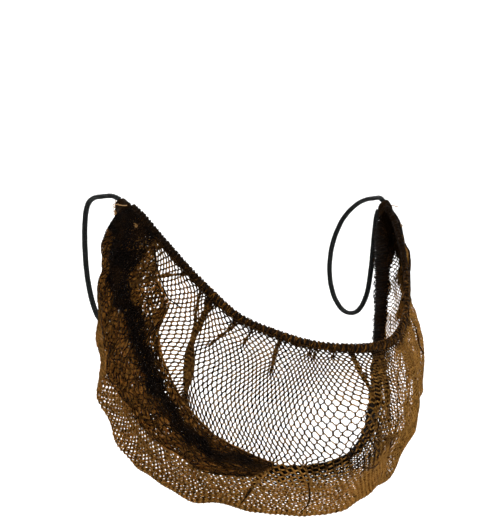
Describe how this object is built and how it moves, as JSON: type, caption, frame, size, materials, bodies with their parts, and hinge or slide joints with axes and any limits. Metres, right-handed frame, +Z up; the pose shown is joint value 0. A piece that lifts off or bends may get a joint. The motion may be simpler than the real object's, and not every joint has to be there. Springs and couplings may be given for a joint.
{
  "type": "beard net",
  "caption": "Knitted honeycomb beard net worn over chin and jaw, with a rolled elastic upper edge, a gathered jaw edge and an elastic loop for each ear.",
  "frame": {"origin": "midway between the two places where the ear loops bear on top of the ears, at the level of the loops' undersides", "axes": "+X to the wearer's left, -Y the way the face looks, +Z up"},
  "size_m": [0.1659, 0.1362, 0.1347],
  "materials": {
    "net": "dark brown knitted nylon honeycomb net, matt with a faint sheen on the strands",
    "edge": "net rolled and gathered tightly over elastic, near-black brown, ribbed",
    "elastic": "black braided flat elastic with a dull cool sheen"
  },
  "bodies": {
    "root": {"net_pouch": "net", "upper_band": "edge", "jaw_band": "edge", "ear_gather_right": "edge", "ear_gather_left": "edge", "ear_loop_right": "elastic", "ear_loop_left": "elastic"}
  },
  "joints": []
}
